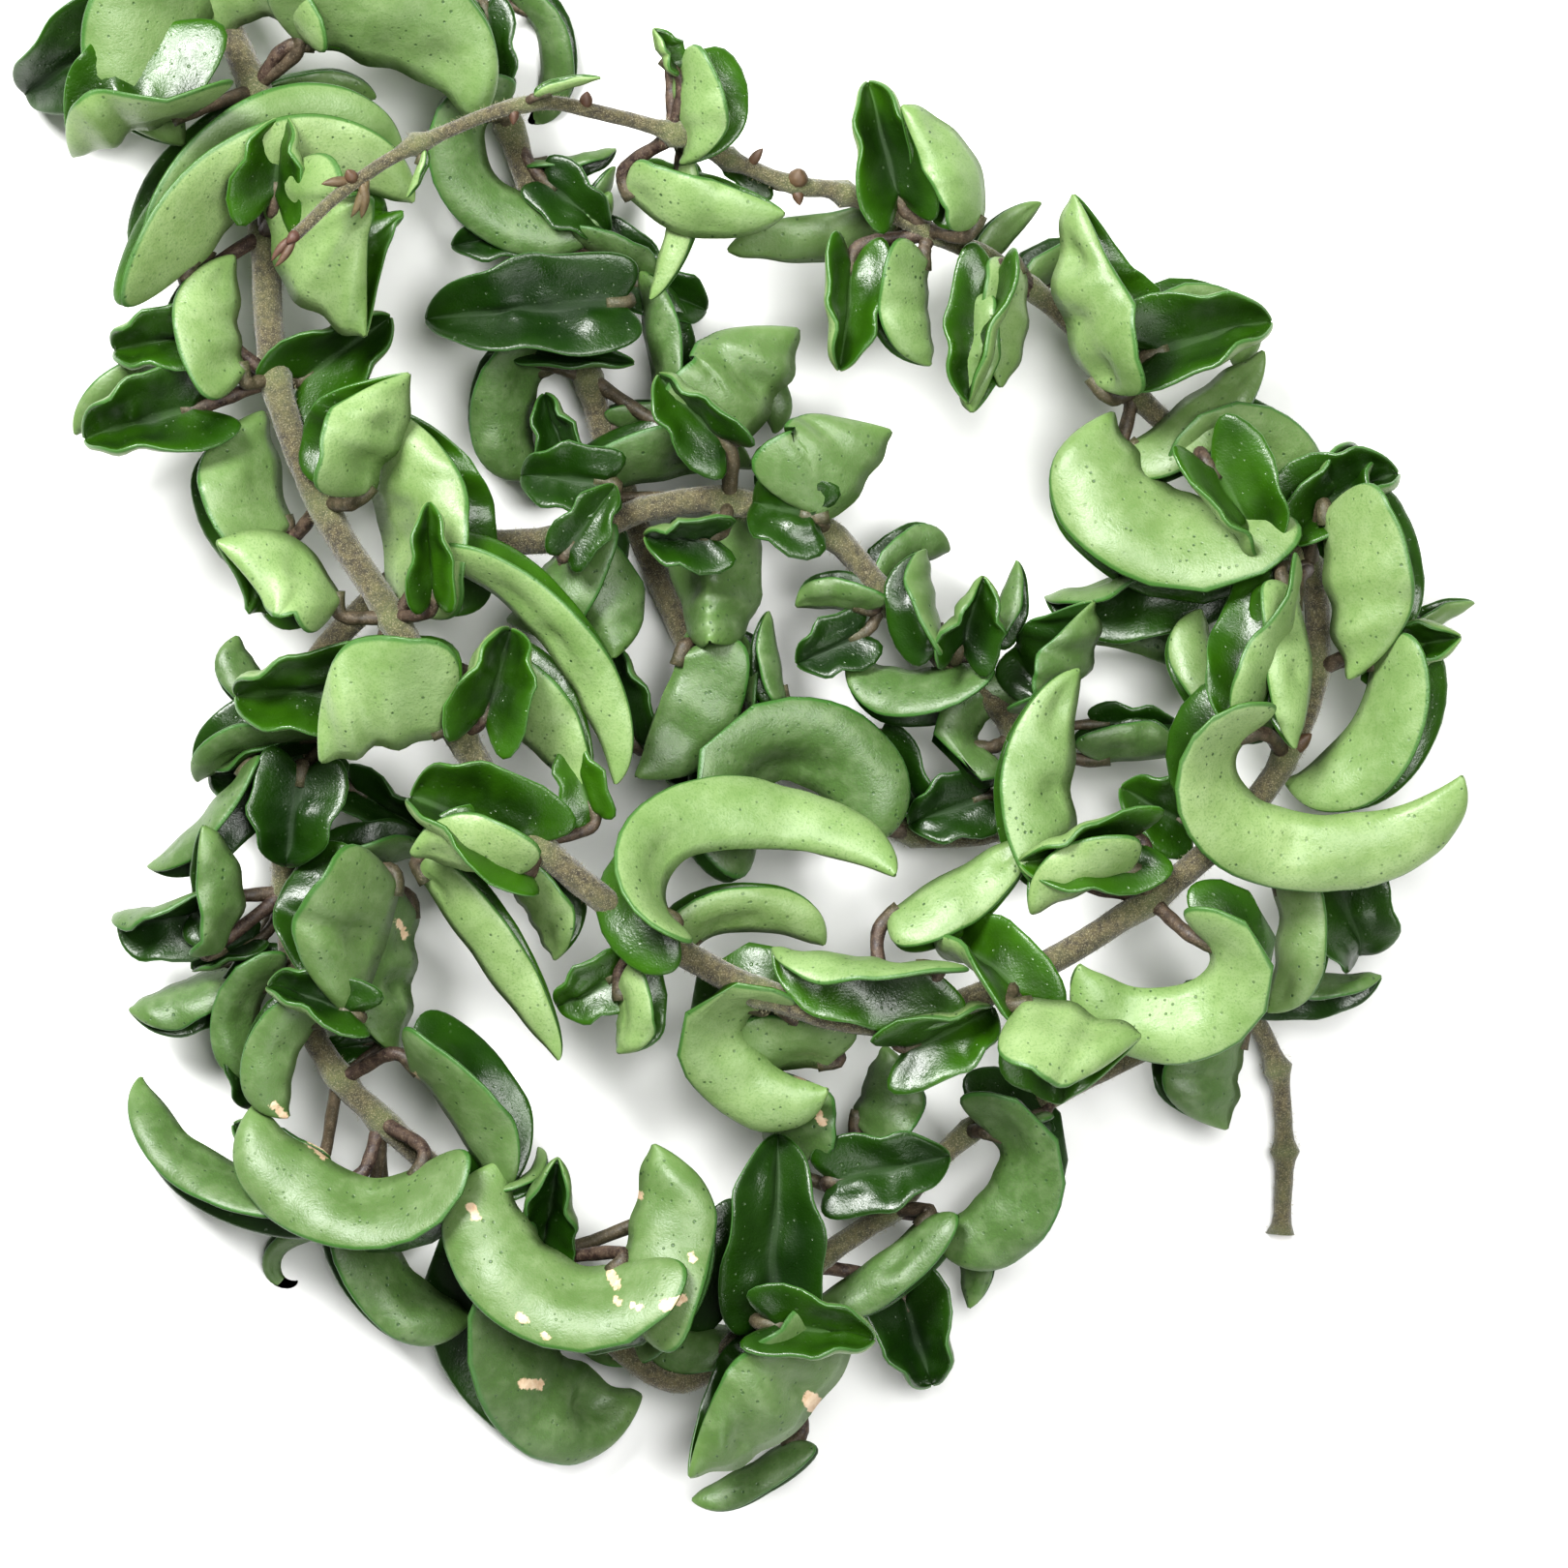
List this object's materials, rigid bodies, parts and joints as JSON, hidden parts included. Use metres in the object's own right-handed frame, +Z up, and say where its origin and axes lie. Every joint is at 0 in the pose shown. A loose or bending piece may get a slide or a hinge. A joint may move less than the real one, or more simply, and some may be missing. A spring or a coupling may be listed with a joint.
{
  "type": "hindu rope plant",
  "caption": "Two cut trailing vines of a wax plant, laid one over the other, with thick folded and curled leaves on short stalks.",
  "frame": {"origin": "middle of the box round both vines, at the level they rest on", "axes": "+Z up from the surface towards the camera, +Y towards the growing tip and the cut upper ends, +X towards the bare old stem end"},
  "size_m": [0.2396, 0.2673, 0.0622],
  "materials": {
    "long_vine": "waxy pale green backs, dark glossy green insides, brown felted stem",
    "coiled_vine": "waxy deeper green leaves, grey-brown felted stem"
  },
  "bodies": {
    "root": {"long_vine": "long_vine", "coiled_vine": "coiled_vine"}
  },
  "joints": []
}
